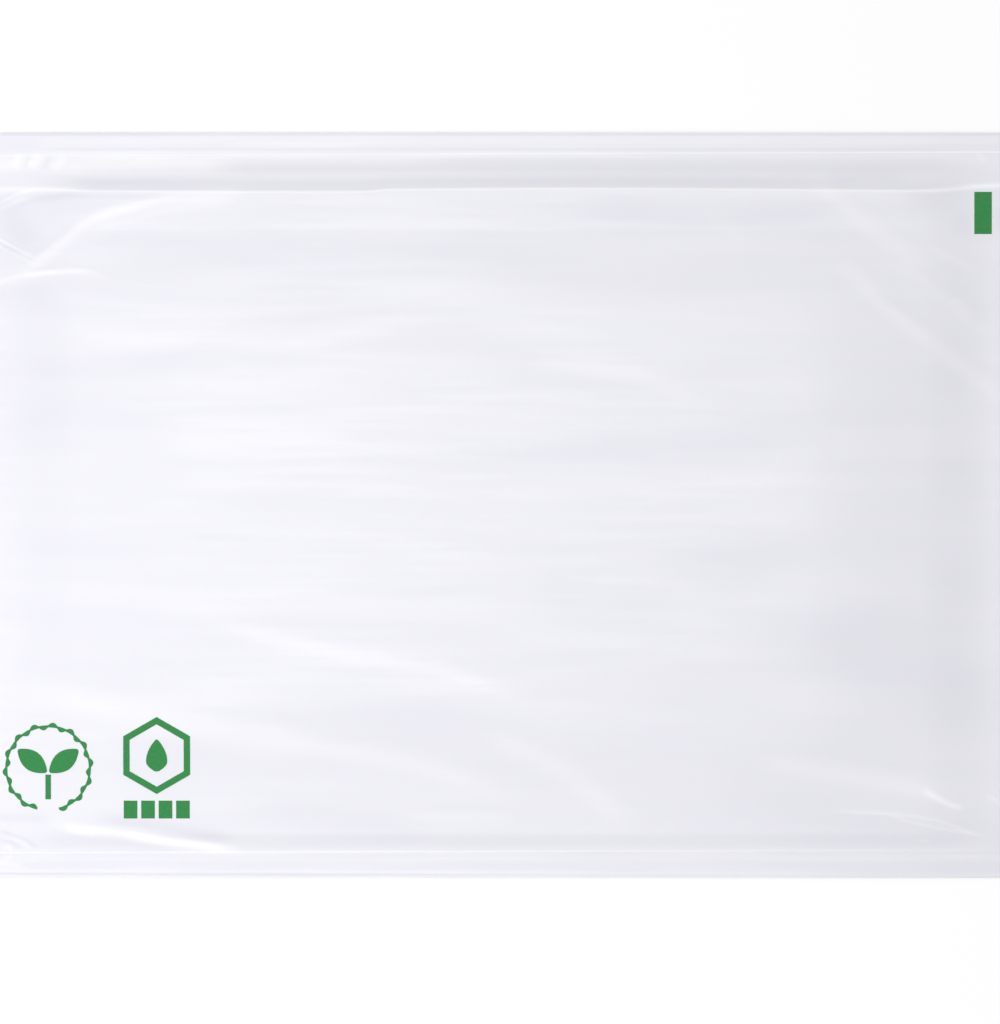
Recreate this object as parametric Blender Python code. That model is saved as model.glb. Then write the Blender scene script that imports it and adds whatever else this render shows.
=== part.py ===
"""Packing list envelope: a flat pouch with a clear front, a milky self-adhesive back and a release liner.

Metres, +Z up. The pouch lies on its liner with its printed front up. The origin is on the surface that it
rests on, under the middle of the envelope. +X runs along the long side and +Y towards the document slit.
"""

import math
from collections import namedtuple

import bmesh
import bpy

# The whole envelope
ENVELOPE_WIDTH = 0.235
ENVELOPE_HEIGHT = 0.175

# The plies, from the back to the front
LINER_THICKNESS = 0.00006
ADHESIVE_THICKNESS = 0.00002
FILM_THICKNESS = 0.00005
INK_THICKNESS = 0.00001
PLY_GAP = 0.00002
INK_GAP = 0.00003

# The strips along the long edges that carry no adhesive, where a thumbnail lifts the liner
TOP_DRY_EDGE = 0.0029
BOTTOM_DRY_EDGE = 0.0046

# The document slit, cut through the liner, the adhesive and the back film
SLIT_INSET = 0.0132
SLIT_SIDE_INSET = 0.0080
SLIT_WIDTH = 0.0005
LIP_RISE = 0.00055
LIP_REACH = 0.0100
LIP_END_FADE = 0.0150

# The heat seals that join the two films
TOP_SEAL_INSET = 0.0049
BOTTOM_SEAL_INSET = 0.0062
LONG_SEAL_WIDTH = 0.0010
SIDE_SEAL_WIDTH = 0.0022
SKIRT_LIFT = 0.00010

# The air between the two films
POCKET_CROWN = 0.00110
CROWN_FADE = 0.0450
STRIP_CROWN = 0.00030
STRIP_FADE = 0.0040
STRIP_SAG = 2.2
SIDE_FADE = 0.0160
DRAW_WAVE_LIFT = 0.00022
DRAW_WAVE_PITCH = 0.0270
DRAW_WAVE_SWAY = 0.0065
DRAW_WAVE_SWAY_LENGTH = 0.1500

# Creases where the drawn film is held by two seals. Each runs between two points, given as insets from the
# edges that meet at its corner, and is a soft ridge that falls away within its reach to either side.
Crease = namedtuple("Crease", "corner start end rise reach")
CREASES = [
    Crease(corner=(-1, 1), start=(0.0040, 0.0335), end=(0.0380, 0.0180), rise=0.00034, reach=0.0060),
    Crease(corner=(-1, 1), start=(0.0040, 0.0355), end=(0.0360, 0.0370), rise=0.00022, reach=0.0045),
    Crease(corner=(1, 1), start=(0.0030, 0.0600), end=(0.0340, 0.0350), rise=0.00030, reach=0.0050),
    Crease(corner=(1, -1), start=(0.0040, 0.0120), end=(0.0270, 0.0170), rise=0.00022, reach=0.0045),
    Crease(corner=(-1, -1), start=(0.0140, 0.0150), end=(0.0520, 0.0120), rise=0.00018, reach=0.0045),
    Crease(corner=(-1, -1), start=(0.0560, 0.0575), end=(0.1180, 0.0440), rise=0.00024, reach=0.0060),
]
CREASE_END_SHARE = 0.35

# Mesh steps of the films, between the lines at which their form changes
FRONT_STEPS_ACROSS = (24, 5, 1)
FRONT_STEPS_UP = (1, 1, 1, 2, 30, 4, 4, 1, 1, 1)
LAMINATE_STEPS_ACROSS = (6, 4, 1)
LAMINATE_STEPS_UP = (1, 5, 1, 1)

# The registration mark, a plain block of ink beside the cut edge
EYE_MARK_WIDTH = 0.0041
EYE_MARK_HEIGHT = 0.0099
EYE_MARK_SIDE_INSET = 0.0020
EYE_MARK_SLIT_GAP = 0.0004

# The round mark, a wreath with a sprout in it
WREATH_SIDE_INSET = 0.0114
WREATH_BOTTOM_INSET = 0.0258
WREATH_RADIUS = 0.0099
WREATH_BAND = 0.0005
WREATH_LEAF = 0.00065
WREATH_LEAVES = 26
WREATH_OPENING_DEG = 30.0
SPROUT_LEAF_LENGTH = 0.0088
SPROUT_LEAF_WIDTH = 0.0046
SPROUT_LEAF_TILT_DEG = 38.0
SPROUT_STEM_LENGTH = 0.0058
SPROUT_STEM_WIDTH = 0.0013
SPROUT_JOINT_GAP = 0.0005
SPROUT_JOINT_DROP = 0.0010
LEAF_FULLEST_SHARE = 0.5

# The framed mark, a six-sided frame round a drop, over a row of bars
FRAME_SIDE_INSET = 0.0369
FRAME_BOTTOM_INSET = 0.0288
FRAME_RADIUS = 0.0082
FRAME_STROKE = 0.0015
DROP_LENGTH = 0.0078
DROP_WIDTH = 0.0050
DROP_FULLEST_SHARE = 0.68
BAR_COUNT = 4
BAR_WIDTH = 0.0032
BAR_HEIGHT = 0.0042
BAR_PITCH = 0.0041
BAR_FRAME_GAP = 0.0024

# How leaves and drops end: the share of their length that each blunt tip takes, and how full their sides are
TIP_SHARE = 0.02
SIDE_FULLNESS = 0.8

# The height at which a print is laid out, clear above the film, before it is draped
PRINT_LAYOUT_HEIGHT = 0.010

# Colours as linear RGB
LINER_COLOUR = (0.86, 0.86, 0.84)
ADHESIVE_COLOUR = (0.90, 0.88, 0.80)
MILKY_FILM_COLOUR = (0.88, 0.87, 0.94)
CLEAR_FILM_COLOUR = (0.86, 0.85, 0.92)
INK_COLOUR = (0.045, 0.246, 0.074)

# Levels and lines that follow from the sizes above
HALF_WIDTH = ENVELOPE_WIDTH / 2
HALF_HEIGHT = ENVELOPE_HEIGHT / 2
ADHESIVE_LEVEL = LINER_THICKNESS + PLY_GAP
BACK_FILM_LEVEL = ADHESIVE_LEVEL + ADHESIVE_THICKNESS + PLY_GAP
FRONT_FILM_LEVEL = BACK_FILM_LEVEL + FILM_THICKNESS + PLY_GAP
SLIT_LINE = HALF_HEIGHT - SLIT_INSET
LOWER_LIP = SLIT_LINE - SLIT_WIDTH / 2
UPPER_LIP = SLIT_LINE + SLIT_WIDTH / 2
SLIT_END = HALF_WIDTH - SLIT_SIDE_INSET
TOP_SEAL = HALF_HEIGHT - TOP_SEAL_INSET
BOTTOM_SEAL = -HALF_HEIGHT + BOTTOM_SEAL_INSET
SIDE_SEAL = HALF_WIDTH - SIDE_SEAL_WIDTH
HALF_SEAL = LONG_SEAL_WIDTH / 2


def clear_scene():
    for obj in list(bpy.data.objects):
        bpy.data.objects.remove(obj)


def make_material(name, colour, roughness, alpha=1.0):
    material = bpy.data.materials.new(name)
    material.use_nodes = True
    shader = material.node_tree.nodes["Principled BSDF"]
    shader.inputs["Base Color"].default_value = (*colour, 1.0)
    shader.inputs["Roughness"].default_value = roughness
    shader.inputs["Metallic"].default_value = 0.0
    shader.inputs["Alpha"].default_value = alpha
    return material


def ease(distance, reach):
    """0 at no distance, 1 from reach on, with a soft start and end."""
    share = min(max(distance / reach, 0.0), 1.0)
    return share * share * (3 - 2 * share)


def stations(marks, steps):
    """The marks in order, with each stretch between two of them cut into its number of steps."""
    found = [marks[0]]
    for start, end, count in zip(marks, marks[1:], steps):
        found += [start + (end - start) * i / count for i in range(1, count + 1)]
    return found


def lip_lift(x, y):
    """How far the cut laminate stands off the surface: its lower lip springs up along the slit."""
    if y > SLIT_LINE:
        return 0.0
    along = ease(SLIT_END - abs(x), LIP_END_FADE)
    return LIP_RISE * along * ease(y - (LOWER_LIP - LIP_REACH), LIP_REACH)


def crease_lift(x, y):
    """The ridge of the creases, each highest at its middle and gone at its two ends."""
    lift = 0.0
    for crease in CREASES:
        start_x, end_x = (crease.corner[0] * (HALF_WIDTH - inset[0]) for inset in (crease.start, crease.end))
        start_y, end_y = (crease.corner[1] * (HALF_HEIGHT - inset[1]) for inset in (crease.start, crease.end))
        run_x, run_y = end_x - start_x, end_y - start_y
        length = math.hypot(run_x, run_y)
        share = ((x - start_x) * run_x + (y - start_y) * run_y) / length**2
        across = abs((x - start_x) * run_y - (y - start_y) * run_x) / length
        ends = ease(min(share, 1 - share), CREASE_END_SHARE)
        lift = max(lift, crease.rise * ends * (1 - ease(across, crease.reach)))
    return lift


def pocket_gap(x, y):
    """The air between the films: none on the seals, a low crown in the pocket, a small one over the slit."""
    inside_sides = ease(SIDE_SEAL - abs(x), SIDE_FADE)
    above = y - (TOP_SEAL + HALF_SEAL)
    below = (BOTTOM_SEAL - HALF_SEAL) - y
    if max(above, below) >= 0:
        return SKIRT_LIFT * inside_sides * ease(max(above, below), LONG_SEAL_WIDTH)
    from_long_seals = min(TOP_SEAL - HALF_SEAL - y, y - BOTTOM_SEAL - HALF_SEAL)
    strip = STRIP_CROWN * inside_sides * ease(from_long_seals, STRIP_FADE)
    crown = POCKET_CROWN * ease(SIDE_SEAL - abs(x), CROWN_FADE)
    crown *= ease(y - BOTTOM_SEAL, CROWN_FADE) * ease(LOWER_LIP - y, CROWN_FADE)
    sway = DRAW_WAVE_SWAY * math.sin(2 * math.pi * x / DRAW_WAVE_SWAY_LENGTH)
    wave = DRAW_WAVE_LIFT * (1 + math.cos(2 * math.pi * (y + sway) / DRAW_WAVE_PITCH)) / 2
    wave *= inside_sides * ease(from_long_seals, CROWN_FADE)
    folds = crease_lift(x, y) * ease(from_long_seals, STRIP_FADE)
    return strip + crown + wave + folds


def front_film_height(x, y):
    """The underside of the front film, which lies on the back film's lip and rises over the air."""
    lip_ridge = LIP_RISE * ease(SLIT_END - abs(x), LIP_END_FADE)
    if y < LOWER_LIP:
        lip_ridge *= ease(y - (LOWER_LIP - LIP_REACH), LIP_REACH)
    else:
        to_seal = (TOP_SEAL - HALF_SEAL - y) / (TOP_SEAL - HALF_SEAL - LOWER_LIP)
        lip_ridge *= max(to_seal, 0.0) ** STRIP_SAG
    return FRONT_FILM_LEVEL + lip_ridge + pocket_gap(x, y)


def finish_object(name, mesh, material):
    mesh.materials.append(material)
    obj = bpy.data.objects.new(name, mesh)
    bpy.context.scene.collection.objects.link(obj)
    return obj


def film_sheet(name, columns, rows, height, thickness, material, slit=False):
    """A sheet with corners at the columns and rows, its underside at height(x, y). A slit leaves out the cells
    between the lips, and so cuts the sheet through."""
    mesh = bpy.data.meshes.new(name)
    work = bmesh.new()
    grid = [[work.verts.new((x, y, height(x, y))) for x in columns] for y in rows]
    for low, high in zip(grid, grid[1:]):
        for left in range(len(columns) - 1):
            corners = (low[left], low[left + 1], high[left + 1], high[left])
            middle_x = (corners[0].co.x + corners[1].co.x) / 2
            middle_y = (corners[0].co.y + corners[2].co.y) / 2
            in_slit = LOWER_LIP < middle_y < UPPER_LIP and abs(middle_x) < SLIT_END
            if not (slit and in_slit):
                work.faces.new(corners)
    work.to_mesh(mesh)
    work.free()
    obj = finish_object(name, mesh, material)
    ply = obj.modifiers.new("ply", "SOLIDIFY")
    ply.thickness = thickness
    ply.offset = 1.0
    return obj


def laminate_sheet(name, bottom, top, level, thickness, material):
    """One ply of the laminate that the slit cuts through."""
    half_columns = stations([0.0, SLIT_END - LIP_END_FADE, SLIT_END, HALF_WIDTH], LAMINATE_STEPS_ACROSS)
    columns = [-x for x in reversed(half_columns[1:])] + half_columns
    rows = stations([bottom, LOWER_LIP - LIP_REACH, LOWER_LIP, UPPER_LIP, top], LAMINATE_STEPS_UP)
    return film_sheet(
        name, columns, rows, lambda x, y: level + lip_lift(x, y), thickness, material, slit=True
    )


def front_sheet(material):
    """The printed front film, formed over the pocket and sealed to the back film on all four sides."""
    half_columns = stations([0.0, SIDE_SEAL - SIDE_FADE, SIDE_SEAL, HALF_WIDTH], FRONT_STEPS_ACROSS)
    columns = [-x for x in reversed(half_columns[1:])] + half_columns
    rows = stations(
        [
            -HALF_HEIGHT,
            BOTTOM_SEAL - HALF_SEAL - LONG_SEAL_WIDTH,
            BOTTOM_SEAL - HALF_SEAL,
            BOTTOM_SEAL + HALF_SEAL,
            BOTTOM_SEAL + HALF_SEAL + STRIP_FADE,
            LOWER_LIP - LIP_REACH,
            LOWER_LIP,
            TOP_SEAL - HALF_SEAL,
            TOP_SEAL + HALF_SEAL,
            TOP_SEAL + HALF_SEAL + LONG_SEAL_WIDTH,
            HALF_HEIGHT,
        ],
        FRONT_STEPS_UP,
    )
    return film_sheet("front_film", columns, rows, front_film_height, FILM_THICKNESS, material)


def printed_field(name, cross_lines, closed, film, material):
    """A field of ink on the film. Each cross line is the two ends of one line over the field, from its left
    edge to its right one, and the field runs from the first line to the last, or round to the first again."""
    mesh = bpy.data.meshes.new(name)
    work = bmesh.new()
    ribs = []
    for left, right in cross_lines:
        middle = ((left[0] + right[0]) / 2, (left[1] + right[1]) / 2)
        ribs.append([work.verts.new((x, y, PRINT_LAYOUT_HEIGHT)) for x, y in (left, middle, right)])
    following = ribs[1:] + ribs[:1] if closed else ribs[1:]
    for rib, next_rib in zip(ribs, following):
        for side in range(2):
            work.faces.new((rib[side], rib[side + 1], next_rib[side + 1], next_rib[side]))
    bmesh.ops.recalc_face_normals(work, faces=work.faces)
    if sum(face.normal.z for face in work.faces) < 0:
        bmesh.ops.reverse_faces(work, faces=work.faces)
    work.to_mesh(mesh)
    work.free()
    obj = finish_object(name, mesh, material)
    drape = obj.modifiers.new("drape", "SHRINKWRAP")
    drape.target = film
    drape.wrap_method = "PROJECT"
    drape.use_project_z = True
    drape.use_negative_direction = True
    drape.use_positive_direction = False
    drape.offset = INK_GAP
    ink = obj.modifiers.new("ink", "SOLIDIFY")
    ink.thickness = INK_THICKNESS
    ink.offset = 1.0
    return obj


def block_lines(centre_x, centre_y, width, height, steps):
    """Cross lines of a plain upright block."""
    lines = []
    for i in range(steps + 1):
        y = centre_y - height / 2 + height * i / steps
        lines.append(((centre_x - width / 2, y), (centre_x + width / 2, y)))
    return lines


def wreath_lines(centre_x, centre_y):
    """Cross lines of an open ring whose two edges swell into small leaves, by turns."""
    opening = math.radians(WREATH_OPENING_DEG)
    steps_per_leaf = 6
    steps = WREATH_LEAVES * steps_per_leaf
    lines = []
    for i in range(steps + 1):
        angle = -math.pi / 2 + opening / 2 + (2 * math.pi - opening) * i / steps
        turn = math.pi * i / steps_per_leaf
        outer = WREATH_RADIUS + WREATH_BAND / 2 + WREATH_LEAF * max(math.sin(turn), 0.0)
        inner = WREATH_RADIUS - WREATH_BAND / 2 - WREATH_LEAF * max(-math.sin(turn), 0.0)
        direction = (math.cos(angle), math.sin(angle))
        lines.append(
            tuple((centre_x + radius * direction[0], centre_y + radius * direction[1]) for radius in (inner, outer))
        )
    return lines


def leaf_lines(base_x, base_y, angle, length, width, fullest, steps=14):
    """Cross lines of a leaf or a drop that starts at its base and is widest at the share called fullest."""
    along = (math.cos(angle), math.sin(angle))
    across = (-along[1], along[0])
    lines = []
    for i in range(steps + 1):
        share = TIP_SHARE + (1 - 2 * TIP_SHARE) * i / steps
        swell = share / fullest if share < fullest else (1 - share) / (1 - fullest)
        half = width / 2 * math.sin(swell * math.pi / 2) ** SIDE_FULLNESS
        x = base_x + along[0] * length * share
        y = base_y + along[1] * length * share
        lines.append(((x + across[0] * half, y + across[1] * half), (x - across[0] * half, y - across[1] * half)))
    return lines


def frame_lines(centre_x, centre_y, sides=6, steps_per_side=4):
    """Cross lines round a six-sided frame, with extra ones along each side so that it follows the film."""
    lines = []
    for i in range(sides * steps_per_side):
        side, step = divmod(i, steps_per_side)
        ends = [math.pi / 2 + 2 * math.pi * (side + end) / sides for end in (0, 1)]
        share = step / steps_per_side
        unit_x = math.cos(ends[0]) * (1 - share) + math.cos(ends[1]) * share
        unit_y = math.sin(ends[0]) * (1 - share) + math.sin(ends[1]) * share
        stroke = FRAME_STROKE / math.cos(math.pi / sides)
        lines.append(
            tuple(
                (centre_x + radius * unit_x, centre_y + radius * unit_y)
                for radius in (FRAME_RADIUS - stroke / 2, FRAME_RADIUS + stroke / 2)
            )
        )
    return lines


def print_eye_mark(film, ink):
    """The block that a photocell reads when the envelopes are cut apart."""
    x = HALF_WIDTH - EYE_MARK_SIDE_INSET - EYE_MARK_WIDTH / 2
    y = LOWER_LIP - EYE_MARK_SLIT_GAP - EYE_MARK_HEIGHT / 2
    lines = block_lines(x, y, EYE_MARK_WIDTH, EYE_MARK_HEIGHT, steps=6)
    printed_field("eye_mark", lines, False, film, ink)


def print_round_mark(film, ink):
    """The wreath, and in it a sprout of two leaves on a stem."""
    x = -HALF_WIDTH + WREATH_SIDE_INSET
    y = -HALF_HEIGHT + WREATH_BOTTOM_INSET
    printed_field("wreath", wreath_lines(x, y), False, film, ink)
    joint_y = y - SPROUT_JOINT_DROP
    for name, side in (("sprout_leaf_left", -1), ("sprout_leaf_right", 1)):
        tilt = math.radians(SPROUT_LEAF_TILT_DEG)
        angle = tilt if side > 0 else math.pi - tilt
        base_x = x + side * SPROUT_JOINT_GAP / 2
        lines = leaf_lines(base_x, joint_y, angle, SPROUT_LEAF_LENGTH, SPROUT_LEAF_WIDTH, LEAF_FULLEST_SHARE)
        printed_field(name, lines, False, film, ink)
    stem_y = joint_y - SPROUT_JOINT_GAP - SPROUT_STEM_LENGTH / 2
    stem = block_lines(x, stem_y, SPROUT_STEM_WIDTH, SPROUT_STEM_LENGTH, steps=4)
    printed_field("sprout_stem", stem, False, film, ink)


def print_framed_mark(film, ink):
    """The six-sided frame with a drop in it, and the row of bars under it."""
    x = -HALF_WIDTH + FRAME_SIDE_INSET
    y = -HALF_HEIGHT + FRAME_BOTTOM_INSET
    printed_field("frame", frame_lines(x, y), True, film, ink)
    drop_top = y + DROP_LENGTH / 2
    lines = leaf_lines(x, drop_top, -math.pi / 2, DROP_LENGTH, DROP_WIDTH, DROP_FULLEST_SHARE)
    printed_field("drop", lines, False, film, ink)
    bar_y = y - FRAME_RADIUS - BAR_FRAME_GAP - BAR_HEIGHT / 2
    for i in range(BAR_COUNT):
        bar_x = x + BAR_PITCH * (i - (BAR_COUNT - 1) / 2)
        bar = block_lines(bar_x, bar_y, BAR_WIDTH, BAR_HEIGHT, steps=3)
        printed_field(f"bar_{i + 1}", bar, False, film, ink)


def build():
    clear_scene()
    liner = make_material("release_paper", LINER_COLOUR, roughness=0.55)
    adhesive = make_material("hot_melt_adhesive", ADHESIVE_COLOUR, roughness=0.35, alpha=0.6)
    milky_film = make_material("milky_film", MILKY_FILM_COLOUR, roughness=0.35)
    clear_film = make_material("clear_film", CLEAR_FILM_COLOUR, roughness=0.3, alpha=0.4)
    ink = make_material("green_ink", INK_COLOUR, roughness=0.35)
    laminate_sheet("release_liner", -HALF_HEIGHT, HALF_HEIGHT, 0.0, LINER_THICKNESS, liner)
    laminate_sheet(
        "adhesive_coat",
        -HALF_HEIGHT + BOTTOM_DRY_EDGE,
        HALF_HEIGHT - TOP_DRY_EDGE,
        ADHESIVE_LEVEL,
        ADHESIVE_THICKNESS,
        adhesive,
    )
    laminate_sheet("back_film", -HALF_HEIGHT, HALF_HEIGHT, BACK_FILM_LEVEL, FILM_THICKNESS, milky_film)
    front = front_sheet(clear_film)
    print_eye_mark(front, ink)
    print_round_mark(front, ink)
    print_framed_mark(front, ink)


build()
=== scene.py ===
"""Packing list envelope: the looks of a flat pouch of clear film, ply by ply from its back to its print.

Metres, +Z up. The pouch lies on its release liner with its printed front up. +X runs along the long side and
+Y towards the document slit.
"""

import math
from collections import namedtuple

import bpy
import numpy as np
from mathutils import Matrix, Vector


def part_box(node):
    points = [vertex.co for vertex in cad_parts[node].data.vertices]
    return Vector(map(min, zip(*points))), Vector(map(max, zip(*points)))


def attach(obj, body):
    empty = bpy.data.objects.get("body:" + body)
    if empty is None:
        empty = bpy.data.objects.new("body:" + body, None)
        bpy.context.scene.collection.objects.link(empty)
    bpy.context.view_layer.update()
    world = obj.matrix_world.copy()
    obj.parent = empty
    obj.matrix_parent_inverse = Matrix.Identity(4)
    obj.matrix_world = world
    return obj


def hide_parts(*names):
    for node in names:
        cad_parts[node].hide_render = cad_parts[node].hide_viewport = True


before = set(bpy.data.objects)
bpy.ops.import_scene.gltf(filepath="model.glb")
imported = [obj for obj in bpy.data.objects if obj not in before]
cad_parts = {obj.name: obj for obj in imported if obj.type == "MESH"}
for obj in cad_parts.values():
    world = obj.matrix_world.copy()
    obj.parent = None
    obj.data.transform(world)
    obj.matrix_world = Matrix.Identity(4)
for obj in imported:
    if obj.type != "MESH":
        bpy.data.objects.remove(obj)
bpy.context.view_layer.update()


# Release liner
# A sheet of white siliconised paper over the whole back, peeled off before use. The document slit is cut
# through it together with the adhesive and the back film, and the lower lip of the cut springs up a little.

LINER_THICKNESS = 0.00006
SLIT_INSET = 0.0132
SLIT_SIDE_INSET = 0.0080
SLIT_WIDTH = 0.0005
LIP_RISE = 0.00055
LIP_REACH = 0.0100
LIP_END_FADE = 0.0150
MARGIN_CURL = 0.00022
MARGIN_CURL_REACH = 0.0050
SLIT_SWAY = 0.00030
SLIT_SWAY_LENGTH = 0.1900
SLIT_KINK_PLACE = -0.0290
SLIT_KINK_LENGTH = 0.0060
SLIT_KINK_DEPTH = 0.00055
SLIT_SWAY_REACH = 0.0060
LAMINATE_COLUMN_STEP = 0.0020
LAMINATE_ROW_STEP = 0.0024
LIP_ROW_STEP = 0.0007
SHARP_EDGE_DEG = 50.0

LINER_COLOUR = (0.880, 0.880, 0.870)
LINER_FIBRE_COLOUR = (0.820, 0.820, 0.800)
LINER_ROUGHNESS = 0.55
FIBRE_LENGTH = 0.0016
FIBRE_WIDTH = 0.00022
FIBRE_RELIEF = 0.000012
GRAIN_ROUGHNESS = 0.55

_, liner_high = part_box("release_liner")
HALF_WIDTH = liner_high.x
HALF_HEIGHT = liner_high.y
SLIT_LINE = HALF_HEIGHT - SLIT_INSET
LOWER_LIP = SLIT_LINE - SLIT_WIDTH / 2
UPPER_LIP = SLIT_LINE + SLIT_WIDTH / 2
SLIT_END = HALF_WIDTH - SLIT_SIDE_INSET


def ease(distance, reach):
    """0 at no distance, 1 from reach on, with a soft start and end."""
    share = np.clip(distance / reach, 0.0, 1.0)
    return share * share * (3 - 2 * share)


def stations(start, stretches):
    """Positions from the start to the end of each stretch in turn, no further apart in it than its step."""
    found = [start]
    for end, step in stretches:
        count = max(1, math.ceil((end - found[-1]) / step))
        found.extend(np.linspace(found[-1], end, count + 1)[1:])
    return np.array(found)


def slit_sway(x, y):
    """How far the cut wanders off a straight line, dying out to either side of the slit and at its ends."""
    wave = SLIT_SWAY * np.sin(2 * math.pi * (x - SLIT_KINK_PLACE) / SLIT_SWAY_LENGTH)
    kink = SLIT_KINK_DEPTH * (1 - ease(x - SLIT_KINK_PLACE + SLIT_KINK_LENGTH / 2, SLIT_KINK_LENGTH))
    kink *= ease(x + HALF_WIDTH - SLIT_SIDE_INSET, HALF_WIDTH)
    held_ends = ease(SLIT_END - np.abs(x), LIP_END_FADE)
    return (wave - kink) * held_ends * (1 - ease(np.abs(y - SLIT_LINE), SLIT_SWAY_REACH))


def margin_curl(y):
    """How far the margins along the two long edges curl up towards the edge itself."""
    return MARGIN_CURL * np.clip(1 - (HALF_HEIGHT - np.abs(y)) / MARGIN_CURL_REACH, 0.0, 1.0) ** 2


def laminate_lift(x, y):
    """How far the cut laminate stands off the surface: its margins curl and its lower lip springs up."""
    along = ease(SLIT_END - np.abs(x), LIP_END_FADE)
    lip = LIP_RISE * along * ease(y - (LOWER_LIP - LIP_REACH), LIP_REACH)
    return np.where(y > SLIT_LINE, 0.0, lip) + margin_curl(y)


def ply_mesh(name, columns, rows, underside, thickness, slit=False):
    """A closed sheet over the columns and rows, with its underside at underside(x, y). A slit leaves out the
    cells between the lips, and so cuts the sheet through."""
    x, y = np.meshgrid(columns, rows)
    low = np.stack([x, y + slit_sway(x, y), underside(x, y)], axis=-1).reshape(-1, 3)
    high = low + np.array([0.0, 0.0, thickness])
    middle_x = (columns[1:] + columns[:-1]) / 2
    middle_y = (rows[1:] + rows[:-1]) / 2
    kept = np.ones((len(middle_y), len(middle_x)), bool)
    if slit:
        in_slit = (middle_y > LOWER_LIP) & (middle_y < UPPER_LIP)
        kept &= ~(in_slit[:, None] & (np.abs(middle_x) < SLIT_END)[None, :])
    index = np.arange(len(low)).reshape(x.shape)
    corners = [index[:-1, :-1], index[:-1, 1:], index[1:, 1:], index[1:, :-1]]
    cells = np.stack([corner[kept] for corner in corners], axis=-1)
    faces = [cells + len(low), cells[:, ::-1]]
    padded = np.pad(kept, 1)
    for side, (step_y, step_x) in enumerate([(-1, 0), (0, 1), (1, 0), (0, -1)]):
        neighbour = np.roll(padded, (-step_y, -step_x), axis=(0, 1))[1:-1, 1:-1]
        rim = kept & ~neighbour
        start = corners[side][rim]
        end = corners[(side + 1) % len(corners)][rim]
        faces.append(np.stack([start, end, end + len(low), start + len(low)], axis=-1))
    mesh = bpy.data.meshes.new(name)
    mesh.from_pydata(np.concatenate([low, high]).tolist(), [], np.concatenate(faces).tolist())
    mesh.shade_smooth()
    mesh.set_sharp_from_angle(angle=math.radians(SHARP_EDGE_DEG))
    return mesh


def add_piece(name, mesh, material, slot, *nodes):
    """A piece of the pouch, which stands for its nodes and rides with the whole."""
    mesh.materials.append(material)
    piece = bpy.data.objects.new(name, mesh)
    bpy.context.scene.collection.objects.link(piece)
    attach(piece, "root")
    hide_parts(*nodes)
    return piece


def new_material(name):
    material = bpy.data.materials.new(name)
    material.use_nodes = True
    return material, material.node_tree.nodes, material.node_tree.links


def new_group(name, inputs, outputs):
    """A node group with its sockets. Each input is a name and a default, a number or a colour."""
    group = bpy.data.node_groups.new(name, "ShaderNodeTree")
    for socket_name, default in inputs:
        kind = "NodeSocketColor" if hasattr(default, "__len__") else "NodeSocketFloat"
        socket = group.interface.new_socket(socket_name, in_out="INPUT", socket_type=kind)
        socket.default_value = (*default, 1.0) if hasattr(default, "__len__") else default
    for socket_name, kind in outputs:
        group.interface.new_socket(socket_name, in_out="OUTPUT", socket_type=kind)
    entry = group.nodes.new("NodeGroupInput")
    end = group.nodes.new("NodeGroupOutput")
    return group, entry, end


def place_group(nodes, group, **values):
    """The group as a node of a material, with this material's values in its named sockets."""
    node = nodes.new("ShaderNodeGroup")
    node.node_tree = group
    for name, value in values.items():
        socket = node.inputs[name.replace("_", " ").capitalize()]
        socket.default_value = (*value, 1.0) if hasattr(value, "__len__") else value
    return node


def math_node(tree, operation, first, second=None):
    """A Math node on two inputs, each a socket or a number."""
    node = tree.nodes.new("ShaderNodeMath")
    node.operation = operation
    for place, value in enumerate((first, second)):
        if value is None:
            continue
        if isinstance(value, (int, float)):
            node.inputs[place].default_value = value
        else:
            tree.links.new(value, node.inputs[place])
    return node.outputs["Value"]


def grain_group(name):
    """Grain that is longer along X than across: a noise on the object's own coordinates, stretched, with its
    dark and light ends pulled apart."""
    inputs = [("Length", 0.02), ("Width", 0.002), ("Detail", 1.0), ("Low", 0.35), ("High", 0.65)]
    group, entry, end = new_group(name, inputs, [("Grain", "NodeSocketFloat")])
    place = group.nodes.new("ShaderNodeTexCoord")
    axes = group.nodes.new("ShaderNodeSeparateXYZ")
    group.links.new(place.outputs["Object"], axes.inputs["Vector"])
    point = group.nodes.new("ShaderNodeCombineXYZ")
    along = math_node(group, "DIVIDE", axes.outputs["X"], entry.outputs["Length"])
    across = math_node(group, "DIVIDE", axes.outputs["Y"], entry.outputs["Width"])
    group.links.new(along, point.inputs["X"])
    group.links.new(across, point.inputs["Y"])
    noise = group.nodes.new("ShaderNodeTexNoise")
    noise.noise_dimensions = "2D"
    group.links.new(point.outputs["Vector"], noise.inputs["Vector"])
    group.links.new(entry.outputs["Detail"], noise.inputs["Detail"])
    noise.inputs["Scale"].default_value = 1.0
    noise.inputs["Roughness"].default_value = GRAIN_ROUGHNESS
    spread = group.nodes.new("ShaderNodeMapRange")
    group.links.new(noise.outputs["Fac"], spread.inputs["Value"])
    group.links.new(entry.outputs["Low"], spread.inputs["From Min"])
    group.links.new(entry.outputs["High"], spread.inputs["From Max"])
    group.links.new(spread.outputs["Result"], end.inputs["Grain"])
    return group


def colour_socket(sockets, name):
    """The colour socket of that name on a Mix node, which has one of each kind under the same name."""
    return next(socket for socket in sockets if socket.type == "RGBA" and socket.name == name)


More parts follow.
